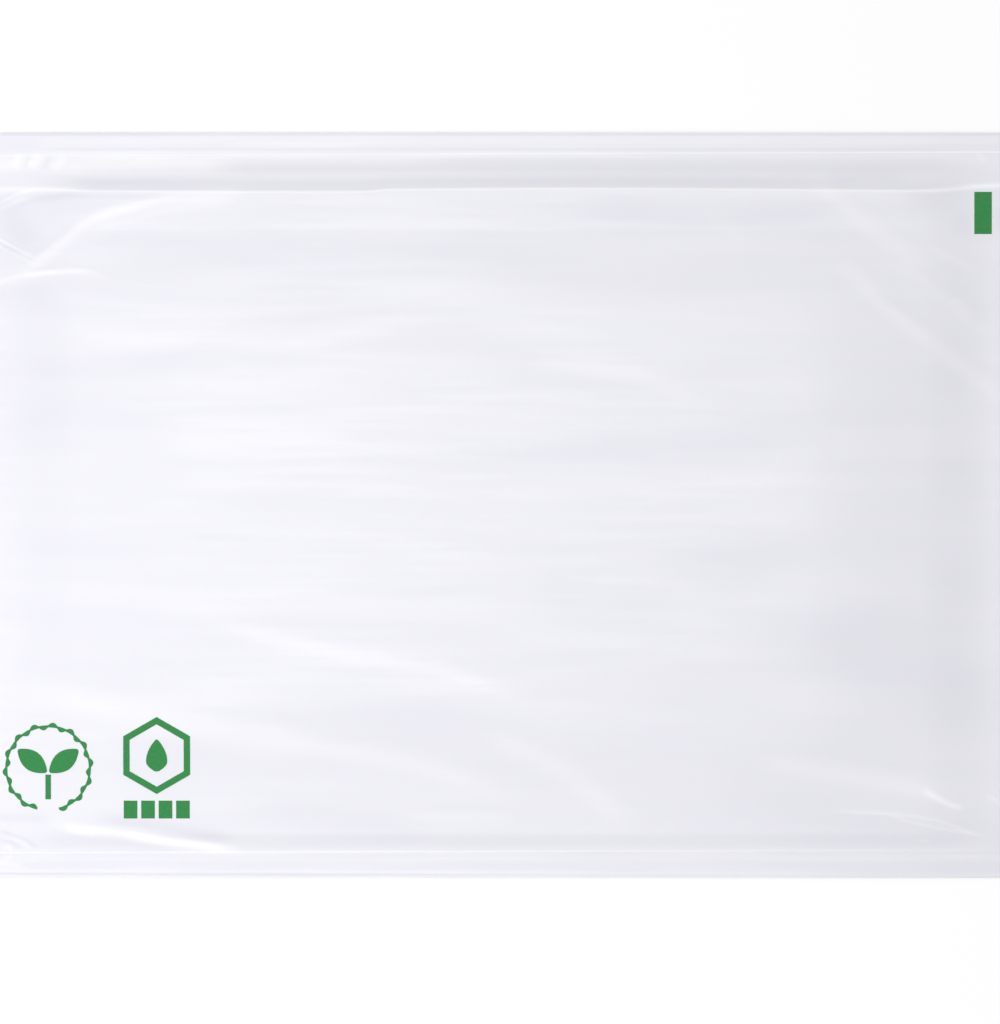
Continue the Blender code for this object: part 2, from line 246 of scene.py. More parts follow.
def mix_colour(tree, mask, first, second):
    """A colour mix whose ends are sockets or colours."""
    node = tree.nodes.new("ShaderNodeMix")
    node.data_type = "RGBA"
    tree.links.new(mask, node.inputs["Factor"])
    for name, value in (("A", first), ("B", second)):
        socket = colour_socket(node.inputs, name)
        if isinstance(value, tuple):
            socket.default_value = (*value, 1.0)
        else:
            tree.links.new(value, socket)
    return colour_socket(node.outputs, "Result")


def scaled(tree, mask, low, high):
    """The mask mapped to run from low to high."""
    node = tree.nodes.new("ShaderNodeMapRange")
    node.inputs["To Min"].default_value = low
    node.inputs["To Max"].default_value = high
    tree.links.new(mask, node.inputs["Value"])
    return node.outputs["Result"]


def add_bump(tree, height, distance, shader):
    bump = tree.nodes.new("ShaderNodeBump")
    bump.inputs["Strength"].default_value = 1.0
    bump.inputs["Distance"].default_value = distance
    tree.links.new(height, bump.inputs["Height"])
    tree.links.new(bump.outputs["Normal"], shader.inputs["Normal"])


drawn_grain = grain_group("drawn_grain")

paper, nodes, links = new_material("release_paper")
shader = nodes["Principled BSDF"]
fibres = place_group(nodes, drawn_grain, length=FIBRE_LENGTH, width=FIBRE_WIDTH, detail=2.0)
links.new(
    mix_colour(paper.node_tree, fibres.outputs["Grain"], LINER_COLOUR, LINER_FIBRE_COLOUR),
    shader.inputs["Base Color"],
)
shader.inputs["Roughness"].default_value = LINER_ROUGHNESS
add_bump(paper.node_tree, fibres.outputs["Grain"], FIBRE_RELIEF, shader)


def laminate_rows(bottom, top):
    """Rows of a ply that the slit cuts through, closer together where the lip and the margins bend."""
    return stations(
        bottom,
        [
            (-HALF_HEIGHT + MARGIN_CURL_REACH, LIP_ROW_STEP),
            (LOWER_LIP - LIP_REACH, LAMINATE_ROW_STEP),
            (LOWER_LIP, LIP_ROW_STEP),
            (UPPER_LIP, SLIT_WIDTH),
            (UPPER_LIP + SLIT_SWAY_REACH, LIP_ROW_STEP),
            (top, LIP_ROW_STEP),
        ],
    )


laminate_columns = stations(
    -HALF_WIDTH,
    [(end, LAMINATE_COLUMN_STEP) for end in (-SLIT_END, SLIT_END, HALF_WIDTH)],
)
liner_mesh = ply_mesh(
    "release_liner_sheet",
    laminate_columns,
    laminate_rows(-HALF_HEIGHT, HALF_HEIGHT),
    laminate_lift,
    LINER_THICKNESS,
    slit=True,
)
liner = add_piece("liner_sheet", liner_mesh, paper, "release_paper", "release_liner")


# Adhesive coat
# Clear hot-melt adhesive, laid on the back film by a slot coater, which leaves faint lanes along the web. It
# stops short of both long edges, so that a thumbnail can lift the liner there.

ADHESIVE_THICKNESS = 0.00002
ADHESIVE_COLOUR = (0.900, 0.885, 0.900)
ADHESIVE_LANE_COLOUR = (0.860, 0.850, 0.880)
ADHESIVE_ROUGHNESS = 0.35
LANE_LENGTH = 0.1200
LANE_WIDTH = 0.0030
LANE_RELIEF = 0.000004

adhesive_low, adhesive_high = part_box("adhesive_coat")

adhesive, nodes, links = new_material("hot_melt_adhesive")
shader = nodes["Principled BSDF"]
lanes = place_group(nodes, drawn_grain, length=LANE_LENGTH, width=LANE_WIDTH, detail=1.0)
links.new(
    mix_colour(adhesive.node_tree, lanes.outputs["Grain"], ADHESIVE_COLOUR, ADHESIVE_LANE_COLOUR),
    shader.inputs["Base Color"],
)
shader.inputs["Roughness"].default_value = ADHESIVE_ROUGHNESS
add_bump(adhesive.node_tree, lanes.outputs["Grain"], LANE_RELIEF, shader)

adhesive_mesh = ply_mesh(
    "adhesive_coat_sheet",
    laminate_columns,
    laminate_rows(adhesive_low.y, adhesive_high.y),
    lambda x, y: adhesive_low.z + laminate_lift(x, y),
    ADHESIVE_THICKNESS,
    slit=True,
)
add_piece("adhesive_layer", adhesive_mesh, adhesive, "hot_melt_adhesive", "adhesive_coat")


# Back film
# The film that carries the adhesive. It is blown low-density polythene, tinted milky, pressed flat by the
# liner, and its lower lip lifts the front film where documents go in.

FILM_THICKNESS = 0.00005
FILM_COLOUR = (0.880, 0.874, 0.940)
FILM_LIGHT_COLOUR = (0.956, 0.950, 0.990)
BACK_FILM_ROUGHNESS = 0.35
STREAK_LENGTH = 0.0700
STREAK_WIDTH = 0.0080
STREAK_RELIEF = 0.000036

back_low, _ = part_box("back_film")

back_material, nodes, links = new_material("milky_back_film")
shader = nodes["Principled BSDF"]
streaks = place_group(nodes, drawn_grain, length=STREAK_LENGTH, width=STREAK_WIDTH, detail=1.0)
links.new(
    mix_colour(back_material.node_tree, streaks.outputs["Grain"], FILM_COLOUR, FILM_LIGHT_COLOUR),
    shader.inputs["Base Color"],
)
shader.inputs["Roughness"].default_value = BACK_FILM_ROUGHNESS
add_bump(back_material.node_tree, streaks.outputs["Grain"], STREAK_RELIEF, shader)

back_mesh = ply_mesh(
    "back_film_sheet",
    laminate_columns,
    laminate_rows(-HALF_HEIGHT, HALF_HEIGHT),
    lambda x, y: back_low.z + laminate_lift(x, y),
    FILM_THICKNESS,
    slit=True,
)
back = add_piece("back_film_sheet", back_mesh, back_material, "milky_film", "back_film")


# Front film
# The printed face: blown low-density polythene with a soft gloss and a faint haze, welded to the back film on
# all four sides. Air crowns it over the pocket, the slit's lip lifts it along one line, and the pull of the
# machine leaves long soft lanes along the web and folds that run in from the corners. Most of these lanes and
# folds, the line along the lip and the bands along the long edges are painted highlight and painted shade in
# the film's colour, partly stress whitening, with little or no relief under them.

TOP_SEAL_INSET = 0.0049
BOTTOM_SEAL_INSET = 0.0062
LONG_SEAL_WIDTH = 0.0010
SIDE_SEAL_WIDTH = 0.0022
SKIRT_LIFT = 0.00010
POCKET_CROWN = 0.00110
CROWN_FADE = 0.0450
STRIP_CROWN = 0.00030
STRIP_FADE = 0.0040
STRIP_SAG = 2.2
SIDE_FADE = 0.0160
DRAW_WAVE_LIFT = 0.00022
DRAW_WAVE_PITCH = 0.0270
DRAW_WAVE_SWAY = 0.0065
DRAW_WAVE_SWAY_LENGTH = 0.1500

TOP_SEAL = HALF_HEIGHT - TOP_SEAL_INSET
BOTTOM_SEAL = -HALF_HEIGHT + BOTTOM_SEAL_INSET
SIDE_SEAL = HALF_WIDTH - SIDE_SEAL_WIDTH
HALF_SEAL = LONG_SEAL_WIDTH / 2

# Each fold follows its points, given as insets from the two edges that meet at its corner. It rises in a
# ridge that falls away within its reach to either side, and most folds have no rise at all. Its tone is
# painted into the film's colour: above zero it whitens the film, partly stress whitening and partly painted
# highlight, and below zero it darkens it, partly cling on the back film and partly painted shade; the wide,
# faint ones are painted shade and light over the panel. All its sizes are in millimetres.
MILLIMETRE = 0.001
Fold = namedtuple("Fold", "corner points rise reach tone")
TOP_LEFT, TOP_RIGHT = (-1, 1), (1, 1)
BOTTOM_LEFT, BOTTOM_RIGHT = (-1, -1), (1, -1)
FOLDS = [
    # Ridges that fan out from the short seal
    Fold(TOP_LEFT, [(0.5, 34.3), (4.7, 32.1), (7.8, 30.5), (12.2, 27.2), (15.5, 24.8), (18.8, 22.0),
         (22.8, 19.9), (29.4, 18.0), (43.5, 14.0)],
         rise=0.08, reach=2.4, tone=0.44),
    Fold(TOP_LEFT, [(16.4, 24.8), (26.3, 20.1), (37.6, 17.1), (61.1, 13.5)], rise=0, reach=4.4, tone=0.4),
    Fold(TOP_LEFT, [(-25.8, 43.2), (-1.4, 35.2), (4.7, 33.6), (9.9, 32.9), (17.6, 32.1), (27.0, 32.9)],
         rise=0.05, reach=1.6, tone=0.52),
    Fold(TOP_LEFT, [(14.1, 32.1), (22.3, 33.3), (29.4, 35.2), (41.1, 36.4)],
         rise=0.02, reach=1.3, tone=0.16),
    Fold(TOP_LEFT, [(4.7, 33.6), (9.9, 32.9), (14.6, 32.4)], rise=0, reach=1, tone=0.3),
    Fold(TOP_LEFT, [(-21.1, 13.8), (10.3, 30.5)], rise=0.07, reach=0.7, tone=1),
    Fold(TOP_LEFT, [(-21.1, 15.4), (9.9, 31.7)], rise=0.07, reach=0.6, tone=0.8),
    Fold(TOP_LEFT, [(-21.1, 14.7), (8.9, 30.7)], rise=0, reach=0.5, tone=-1),
    Fold(TOP_LEFT, [(-7.0, 16.6), (0.0, 18.7), (3.3, 21.1), (5.6, 25.8), (6.6, 30.0)],
         rise=0, reach=7, tone=-0.64),
    Fold(TOP_LEFT, [(0.7, 20.6), (2.8, 17.8), (8.2, 15.7), (15.3, 14.7), (28.2, 14.5), (41.1, 15.0)],
         rise=0, reach=1.5, tone=-0.66),
    Fold(TOP_LEFT, [(-3.8, 20.1), (-0.9, 17.3), (1.4, 15.4), (4.7, 14.0), (9.4, 12.8)],
         rise=0.04, reach=0.8, tone=0.3),
    Fold(TOP_LEFT, [(-3.8, 21.5), (-0.9, 18.7), (1.9, 16.6), (7.0, 14.7)], rise=0.04, reach=0.8, tone=0.3),
    Fold(TOP_LEFT, [(7.0, 22.0), (10.6, 22.7), (14.6, 24.4)], rise=0.02, reach=0.8, tone=0.12),
    Fold(TOP_LEFT, [(17.6, 25.3), (21.1, 26.3), (24.7, 27.4)], rise=0.02, reach=0.8, tone=0.12),
    Fold(TOP_LEFT, [(9.4, 35.4), (14.1, 37.1), (19.3, 39.2)], rise=0, reach=1.4, tone=0.12),
    Fold(TOP_LEFT, [(-9.4, 38.0), (4.7, 37.3), (14.1, 38.5)], rise=0, reach=4, tone=-0.25),
    Fold(TOP_LEFT, [(-14.1, 2.7), (11.8, 2.7)], rise=0, reach=2.6, tone=-0.35),
    # The strip over the slit and its lip, all painted light and painted shade without rise
    Fold(TOP_LEFT, [(-16.4, 7.2), (14.1, 7.2), (28.2, 6.5), (44.6, 6.0)], rise=0, reach=3, tone=0.42),
    Fold(TOP_LEFT, [(2.8, 8.4), (5.2, 4.8)], rise=0, reach=1.8, tone=0.35),
    Fold(TOP_LEFT, [(6.8, 8.4), (9.9, 4.6)], rise=0, reach=2, tone=0.35),
    Fold(TOP_LEFT, [(5.9, 8.4), (7.0, 5.1)], rise=0, reach=0.8, tone=-0.2),
    Fold(TOP_LEFT, [(10.3, 8.8), (11.8, 5.1)], rise=0, reach=0.9, tone=-0.25),
    Fold(TOP_LEFT, [(12.2, 8.8), (15.7, 5.3)], rise=0, reach=2, tone=0.3),
    Fold(TOP_LEFT, [(12.2, 6.0), (25.8, 6.0), (45.8, 5.8)], rise=0, reach=1.6, tone=0.12),
    Fold(TOP_LEFT, [(7.0, 8.1), (25.8, 7.9), (58.8, 7.7)], rise=0, reach=2.9, tone=0.6),
    Fold(TOP_LEFT, [(28.2, 7.4), (32.4, 5.5)], rise=0, reach=0.7, tone=-0.15),
    Fold(TOP_LEFT, [(25.8, 6.7), (61.1, 6.7), (110.4, 6.5)], rise=0, reach=2.3, tone=0.45),
    Fold(TOP_LEFT, [(77.5, 6.9), (131.6, 6.9), (188.0, 6.7), (249.1, 6.7)], rise=0, reach=2.6, tone=0.22),
    Fold(TOP_LEFT, [(-21.1, 11.4), (14.1, 11.4), (37.6, 11.4), (94.0, 11.4), (164.5, 11.4), (220.9, 11.7)],
         rise=0, reach=1.2, tone=-0.32),
    Fold(TOP_LEFT, [(14.1, 11.4), (25.8, 11.4), (42.3, 11.0)], rise=0, reach=1.1, tone=-0.2),
    Fold(TOP_LEFT, [(192.7, 10.7), (204.4, 10.2), (213.8, 11.0)], rise=0, reach=2.5, tone=-0.3),
    Fold(TOP_LEFT, [(-21.1, 13.3), (0.0, 13.3), (23.5, 13.3)], rise=0, reach=1.2, tone=0.55),
    # Long soft lanes in the direction of draw and wide patches, mostly painted light and painted shade
    # without rise
    Fold(TOP_LEFT, [(9.4, 50.0), (35.2, 49.1), (49.3, 47.0), (70.5, 48.2), (94.0, 44.2), (110.4, 41.8)],
         rise=0.03, reach=4.5, tone=0.3),
    Fold(TOP_LEFT, [(0.0, 54.5), (18.8, 55.9), (47.0, 55.0)], rise=0, reach=3.5, tone=-0.2),
    Fold(TOP_LEFT, [(35.2, 69.6), (61.1, 71.9), (89.3, 71.9)], rise=0, reach=9, tone=0.22),
    Fold(TOP_LEFT, [(92.8, 74.3), (122.2, 76.2), (150.4, 73.8), (178.6, 71.9), (202.1, 69.6)],
         rise=0, reach=6, tone=-0.25),
    Fold(TOP_LEFT, [(-61.1, 20.1), (0.0, 23.7), (70.5, 23.7), (164.5, 21.3), (211.5, 21.3)],
         rise=0, reach=26, tone=-0.16),
    Fold(TOP_LEFT, [(-37.6, 10.7), (-4.7, 39.0), (0.0, 67.2), (-14.1, 100.2)],
         rise=0, reach=24, tone=-0.24),
    Fold(TOP_LEFT, [(131.6, 18.7), (164.5, 20.1), (202.1, 21.5)], rise=0, reach=8, tone=-0.3),
    Fold(TOP_LEFT, [(122.2, 53.1), (141.0, 54.5), (150.4, 56.9), (169.2, 65.4)],
         rise=0.01, reach=4, tone=0.18),
    Fold(TOP_LEFT, [(145.7, 86.1), (169.2, 83.7), (188.0, 81.4)], rise=0, reach=4, tone=0.15),
    Fold(TOP_LEFT, [(141.0, 107.7), (159.8, 109.2), (178.6, 107.3)], rise=0, reach=5, tone=-0.15),
    # Slanting folds towards the short seal
    Fold(TOP_RIGHT, [(41.8, 27.2), (35.2, 32.4), (28.2, 38.5), (22.3, 43.7), (10.6, 53.6),
         (-0.9, 62.1), (-7.0, 66.3)],
         rise=0.03, reach=3.8, tone=0.24),
    Fold(TOP_RIGHT, [(47.0, 8.8), (41.1, 13.5), (32.9, 20.1), (25.1, 25.8), (16.4, 31.9)],
         rise=0.02, reach=4, tone=0.22),
    Fold(TOP_RIGHT, [(28.2, 30.0), (18.8, 34.3), (8.2, 43.2), (-2.3, 50.8)], rise=0, reach=2.4, tone=0.12),
    Fold(TOP_RIGHT, [(17.6, 26.3), (14.1, 28.1), (9.9, 30.0), (3.5, 33.3)],
         rise=0.02, reach=1.6, tone=0.16),
    Fold(TOP_RIGHT, [(11.8, 38.3), (8.9, 40.2), (5.4, 42.7)], rise=0.02, reach=1.3, tone=0.2),
    Fold(TOP_RIGHT, [(30.5, 36.6), (23.5, 40.9), (15.3, 46.5)], rise=0, reach=2.5, tone=-0.2),
    Fold(TOP_RIGHT, [(13.4, 34.7), (8.2, 37.8), (2.3, 46.0)], rise=0, reach=4, tone=-0.2),
    Fold(TOP_RIGHT, [(8.9, 18.3), (8.9, 24.4)], rise=0, reach=3.5, tone=-0.3),
    Fold(TOP_RIGHT, [(0.2, 16.6), (0.2, 23.7)], rise=0, reach=2, tone=-0.25),
    Fold(TOP_RIGHT, [(22.3, 13.3), (15.3, 13.5), (3.5, 12.4), (-9.4, 11.7)], rise=0, reach=1.2, tone=0.4),
    Fold(TOP_RIGHT, [(10.6, 12.8), (-0.9, 12.4), (-11.8, 12.1)], rise=0, reach=0.9, tone=0.4),
    Fold(TOP_RIGHT, [(5.9, 4.6), (3.1, 6.9)], rise=0, reach=1.5, tone=0.22),
    Fold(TOP_RIGHT, [(70.5, 16.6), (64.6, 22.0), (59.9, 26.0)], rise=0, reach=2.2, tone=0.16),
    # The bright fold over the long seal, and small ones at the corner
    Fold(BOTTOM_LEFT, [(9.4, 13.0), (16.0, 12.0), (19.3, 11.1), (30.5, 10.1), (41.1, 8.2), (60.2, 6.1)],
         rise=0.09, reach=2.1, tone=0.62),
    Fold(BOTTOM_LEFT, [(14.6, 11.8), (18.8, 11.1), (23.5, 10.6)], rise=0, reach=1.4, tone=0.35),
    Fold(BOTTOM_LEFT, [(27.0, 10.4), (37.6, 8.7), (57.6, 6.6)], rise=0, reach=1.7, tone=0.52),
    Fold(BOTTOM_LEFT, [(20.0, 14.6), (32.9, 12.7), (57.6, 8.7)], rise=0, reach=2.6, tone=-0.74),
    Fold(BOTTOM_LEFT, [(-3.3, 14.1), (4.7, 14.1), (12.2, 14.1)], rise=0, reach=1.8, tone=-0.5),
    Fold(BOTTOM_LEFT, [(1.9, 9.7), (5.2, 8.5), (8.0, 6.6)], rise=0.04, reach=0.8, tone=0.35),
    Fold(BOTTOM_LEFT, [(-1.4, 11.5), (2.3, 10.4), (6.1, 8.9), (9.9, 6.4)], rise=0, reach=0.7, tone=-1),
    Fold(BOTTOM_LEFT, [(-1.4, 9.2), (2.3, 8.5), (5.6, 6.4)], rise=0, reach=0.6, tone=-0.8),
    Fold(BOTTOM_LEFT, [(0.7, 5.9), (1.2, 7.1), (2.1, 7.1), (2.8, 6.1), (2.3, 4.9), (1.2, 4.7), (0.7, 5.9)],
         rise=0.03, reach=0.7, tone=0.35),
    Fold(BOTTOM_LEFT, [(-7.0, 3.8), (1.9, 3.3), (6.6, 2.4)], rise=0, reach=1.2, tone=0.6),
    # Long soft lanes in the direction of draw and wide patches, mostly painted light and painted shade
    # without rise
    Fold(BOTTOM_LEFT, [(44.6, 61.9), (61.6, 56.8), (82.2, 52.3), (103.4, 49.2), (126.9, 39.8)],
         rise=0, reach=2.6, tone=0.28),
    Fold(BOTTOM_LEFT, [(39.9, 62.9), (82.2, 52.3), (126.9, 41.7)], rise=0, reach=5.5, tone=0.16),
    Fold(BOTTOM_LEFT, [(-2.3, 45.2), (14.1, 42.4), (32.9, 37.9), (54.0, 33.4), (77.5, 28.0)],
         rise=0.05, reach=6, tone=0.32),
    Fold(BOTTOM_LEFT, [(54.0, 36.5), (77.5, 30.4), (101.0, 25.7), (122.2, 19.3)],
         rise=0, reach=4, tone=0.28),
    Fold(BOTTOM_LEFT, [(110.4, 35.8), (131.6, 25.7), (150.4, 11.1)], rise=0, reach=5, tone=0.24),
    Fold(BOTTOM_LEFT, [(54.0, 17.4), (77.5, 14.6), (105.8, 9.9)], rise=0, reach=6, tone=-0.2),
    Fold(BOTTOM_LEFT, [(77.5, 41.7), (105.8, 38.2), (131.6, 33.4)], rise=0, reach=3.5, tone=-0.15),
    Fold(BOTTOM_LEFT, [(90.5, 14.4), (123.4, 13.9)], rise=0, reach=2.5, tone=0.2),
    Fold(BOTTOM_LEFT, [(0.0, 67.1), (42.3, 65.2), (94.0, 63.3)], rise=0, reach=5, tone=0.14),
    Fold(BOTTOM_LEFT, [(122.2, 68.1), (141.0, 64.8), (162.1, 60.1)], rise=0, reach=7, tone=-0.2),
    Fold(BOTTOM_LEFT, [(145.7, 84.1), (178.6, 67.6), (206.8, 48.7), (282.0, 27.6)],
         rise=0, reach=16, tone=-0.25),
    Fold(BOTTOM_LEFT, [(164.5, 20.5), (197.4, 15.3), (258.5, 6.4)], rise=0, reach=10, tone=-0.24),
    # Folds that sweep down to the corner
    Fold(BOTTOM_RIGHT, [(61.1, 27.1), (47.0, 25.7), (32.9, 23.8), (20.0, 21.0), (8.2, 16.7)],
         rise=0, reach=4.5, tone=0.26),
    Fold(BOTTOM_RIGHT, [(18.8, 21.2), (15.5, 19.1), (12.2, 17.4), (7.5, 15.8)],
         rise=0.05, reach=1.3, tone=0.7),
    Fold(BOTTOM_RIGHT, [(42.3, 15.5), (27.0, 15.1), (20.0, 14.4), (14.1, 13.4), (9.9, 11.8),
         (5.9, 10.4), (0.9, 9.2)],
         rise=0.04, reach=0.8, tone=0.5),
    Fold(BOTTOM_RIGHT, [(28.2, 15.3), (21.1, 13.0), (15.3, 11.8), (8.2, 10.6), (1.9, 9.4)],
         rise=0.04, reach=0.8, tone=0.45),
    Fold(BOTTOM_RIGHT, [(19.3, 8.9), (16.0, 8.5)], rise=0.04, reach=0.7, tone=0.3),
    Fold(BOTTOM_RIGHT, [(3.8, 19.8), (-0.9, 17.2), (-3.8, 15.8)], rise=0.03, reach=0.8, tone=0.3),
    Fold(BOTTOM_RIGHT, [(16.4, 4.9), (-0.9, 5.2), (-14.1, 5.4)], rise=0, reach=0.9, tone=0.25),
]
FOLD_END_SHARE = 0.24

# Straight bands along the long edges: cut edges, welds, dry edges and margins, in painted shade along the cut
# edges and the bottom margin, painted highlight where the margins curl up, and whitened welds. Each runs
# between two insets from its edge at the middle of the film and leans by its slope. It is soft by its two
# widths, and its tone changes evenly from the left side to the right one. Insets and widths are in
# millimetres.
Band = namedtuple("Band", "edge outer inner soft_outer soft_inner slope left right")
TOP, BOTTOM = 1, -1
BANDS = [
    # The cut top edge in painted shade, the top margin in painted light where it curls up, and its whitened
    # weld
    Band(TOP, outer=-0.50, inner=0.50, soft_outer=0.10, soft_inner=0.35,
         slope=0.0, left=-1.00, right=-0.45),
    Band(TOP, outer=0.90, inner=2.50, soft_outer=0.40, soft_inner=0.15,
         slope=0.0, left=0.12, right=0.18),
    Band(TOP, outer=4.82, inner=4.98, soft_outer=0.16, soft_inner=0.16,
         slope=0.0036, left=0.20, right=0.60),
    # The whitened bottom weld, the margin below it in painted shade with a lighter half, the painted
    # highlight along it where it curls, and the cut bottom edge in painted shade
    Band(BOTTOM, outer=6.15, inner=6.30, soft_outer=0.16, soft_inner=0.25,
         slope=0.0030, left=0.60, right=0.10),
    Band(BOTTOM, outer=0.90, inner=5.80, soft_outer=0.30, soft_inner=0.30,
         slope=0.0, left=-0.34, right=-0.38),
    Band(BOTTOM, outer=3.90, inner=5.40, soft_outer=0.15, soft_inner=0.40,
         slope=0.0, left=0.20, right=0.30),
    Band(BOTTOM, outer=1.20, inner=1.40, soft_outer=0.25, soft_inner=0.60,
         slope=-0.0040, left=0.38, right=0.28),
    Band(BOTTOM, outer=0.50, inner=0.80, soft_outer=0.25, soft_inner=0.25,
         slope=-0.0030, left=-0.85, right=-0.35),
]

FRONT_ALPHA = 0.80
FRONT_TONED_ALPHA = 0.94
INNER_FACE_ALPHA = 0.40
INNER_FACE_ROUGHNESS = 0.35
# The colour that tone below zero darkens the film to: partly cling on the back film, partly painted shade
FILM_CLING_AND_SHADE_COLOUR = (0.700, 0.696, 0.770)
FRONT_ROUGHNESS_LOW = 0.334
FRONT_ROUGHNESS_HIGH = 0.366
FRONT_STREAK_SHARE = 0.16
FINE_STREAK_LENGTH = 0.0380
FINE_STREAK_WIDTH = 0.0019
FINE_STREAK_RELIEF = 0.000003
FRONT_STREAK_RELIEF = 0.000009
# Painted highlight along the lip line, where the lip lifts the film into a ridge
LIP_PAINTED_HIGHLIGHT = 0.70
LIP_PAINTED_HIGHLIGHT_REACH = 0.0005

front_low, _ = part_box("front_film")


def distance_along(x, y, points):
    """The distance of each place from the line through the points, and the share of the line passed there."""
    lengths = [math.dist(start, end) for start, end in zip(points, points[1:])]
    nearest = np.full_like(x, np.inf)
    share = np.zeros_like(x)
    passed = 0.0
    for start, end, length in zip(points, points[1:], lengths):
        run = (np.array(end) - start) / length
        along = np.clip((x - start[0]) * run[0] + (y - start[1]) * run[1], 0.0, length)
        distance = np.hypot(x - start[0] - along * run[0], y - start[1] - along * run[1])
        closer = distance < nearest
        nearest = np.where(closer, distance, nearest)
        share = np.where(closer, (passed + along) / sum(lengths), share)
        passed += length
    return nearest, share


def fold_field(x, y):
    """The rise of the folds and the tone of the film at each place, which is in part painted highlight and
    painted shade.
    """
    rise = np.zeros_like(x)
    tone = np.zeros_like(x)
    for fold in FOLDS:
        points = [
            (
                fold.corner[0] * (HALF_WIDTH - inset_x * MILLIMETRE),
                fold.corner[1] * (HALF_HEIGHT - inset_y * MILLIMETRE),
            )
            for inset_x, inset_y in fold.points
        ]
        nearest, share = distance_along(x, y, points)
        fade = ease(np.minimum(share, 1 - share), FOLD_END_SHARE)
        ridge = fade * (1 - ease(nearest, fold.reach * MILLIMETRE))
        rise = np.maximum(rise, fold.rise * MILLIMETRE * ridge)
        tone += fold.tone * ridge
    return rise, tone


def pocket_gap(x, y):
    """The air between the films: none on the seals, a low crown in the pocket, a small one over the slit."""
    inside_sides = ease(SIDE_SEAL - np.abs(x), SIDE_FADE)
    beyond = np.maximum(y - (TOP_SEAL + HALF_SEAL), (BOTTOM_SEAL - HALF_SEAL) - y)
    skirt = SKIRT_LIFT * inside_sides * ease(beyond, LONG_SEAL_WIDTH)
    from_long_seals = np.minimum(TOP_SEAL - HALF_SEAL - y, y - BOTTOM_SEAL - HALF_SEAL)
    strip = STRIP_CROWN * inside_sides * ease(from_long_seals, STRIP_FADE)
    crown = POCKET_CROWN * ease(SIDE_SEAL - np.abs(x), CROWN_FADE)
    crown *= ease(y - BOTTOM_SEAL, CROWN_FADE) * ease(LOWER_LIP - y, CROWN_FADE)
    sway = DRAW_WAVE_SWAY * np.sin(2 * math.pi * x / DRAW_WAVE_SWAY_LENGTH)
    wave = DRAW_WAVE_LIFT * (1 + np.cos(2 * math.pi * (y + sway) / DRAW_WAVE_PITCH)) / 2
    wave *= inside_sides * ease(from_long_seals, CROWN_FADE)
    folds = fold_field(x, y)[0] * ease(from_long_seals, LONG_SEAL_WIDTH)
    return np.where(beyond >= 0, skirt, strip + crown + wave + folds)


def front_underside(x, y):
    """The underside of the front film, which lies on the back film's lip and rises over the air."""
    ends = ease(SLIT_END - np.abs(x), LIP_END_FADE)
    before = ease(y - (LOWER_LIP - LIP_REACH), LIP_REACH)
    after = (1 - np.clip((y - LOWER_LIP) / (TOP_SEAL - HALF_SEAL - LOWER_LIP), 0.0, 1.0)) ** STRIP_SAG
    lip_ridge = LIP_RISE * ends * np.where(y < LOWER_LIP, before, after)
    return front_low.z + lip_ridge + margin_curl(y) + pocket_gap(x, y)


def film_band_group():
    """The tone of one straight band across the film, from its lower and upper edge at the film's middle."""
    inputs = [
        ("Lower", 0.0), ("Upper", 0.0), ("Soft below", 0.0002), ("Soft above", 0.0002),
        ("Slope", 0.0), ("Left tone", 1.0), ("Right tone", 1.0),
    ]
    group, entry, end = new_group("film_band", inputs, [("Tone", "NodeSocketFloat")])
    place = group.nodes.new("ShaderNodeTexCoord")
    axes = group.nodes.new("ShaderNodeSeparateXYZ")
    group.links.new(place.outputs["Object"], axes.inputs["Vector"])
    lean = math_node(group, "MULTIPLY", axes.outputs["X"], entry.outputs["Slope"])
    height = math_node(group, "SUBTRACT", axes.outputs["Y"], lean)
    above_lower = math_node(group, "SUBTRACT", height, entry.outputs["Lower"])
    below_upper = math_node(group, "SUBTRACT", entry.outputs["Upper"], height)
    ramps = []
    for distance, soft in ((above_lower, "Soft below"), (below_upper, "Soft above")):
        share = math_node(group, "DIVIDE", distance, entry.outputs[soft])
        ramp = math_node(group, "ADD", share, 1.0)
        ramp.node.use_clamp = True
        ramps.append(ramp)
    mask = math_node(group, "MULTIPLY", *ramps)
    across = group.nodes.new("ShaderNodeMapRange")
    across.inputs["From Min"].default_value = -HALF_WIDTH
    across.inputs["From Max"].default_value = HALF_WIDTH
    group.links.new(axes.outputs["X"], across.inputs["Value"])
    group.links.new(entry.outputs["Left tone"], across.inputs["To Min"])
    group.links.new(entry.outputs["Right tone"], across.inputs["To Max"])
    group.links.new(math_node(group, "MULTIPLY", mask, across.outputs["Result"]), end.inputs["Tone"])
    return group


film_band = film_band_group()

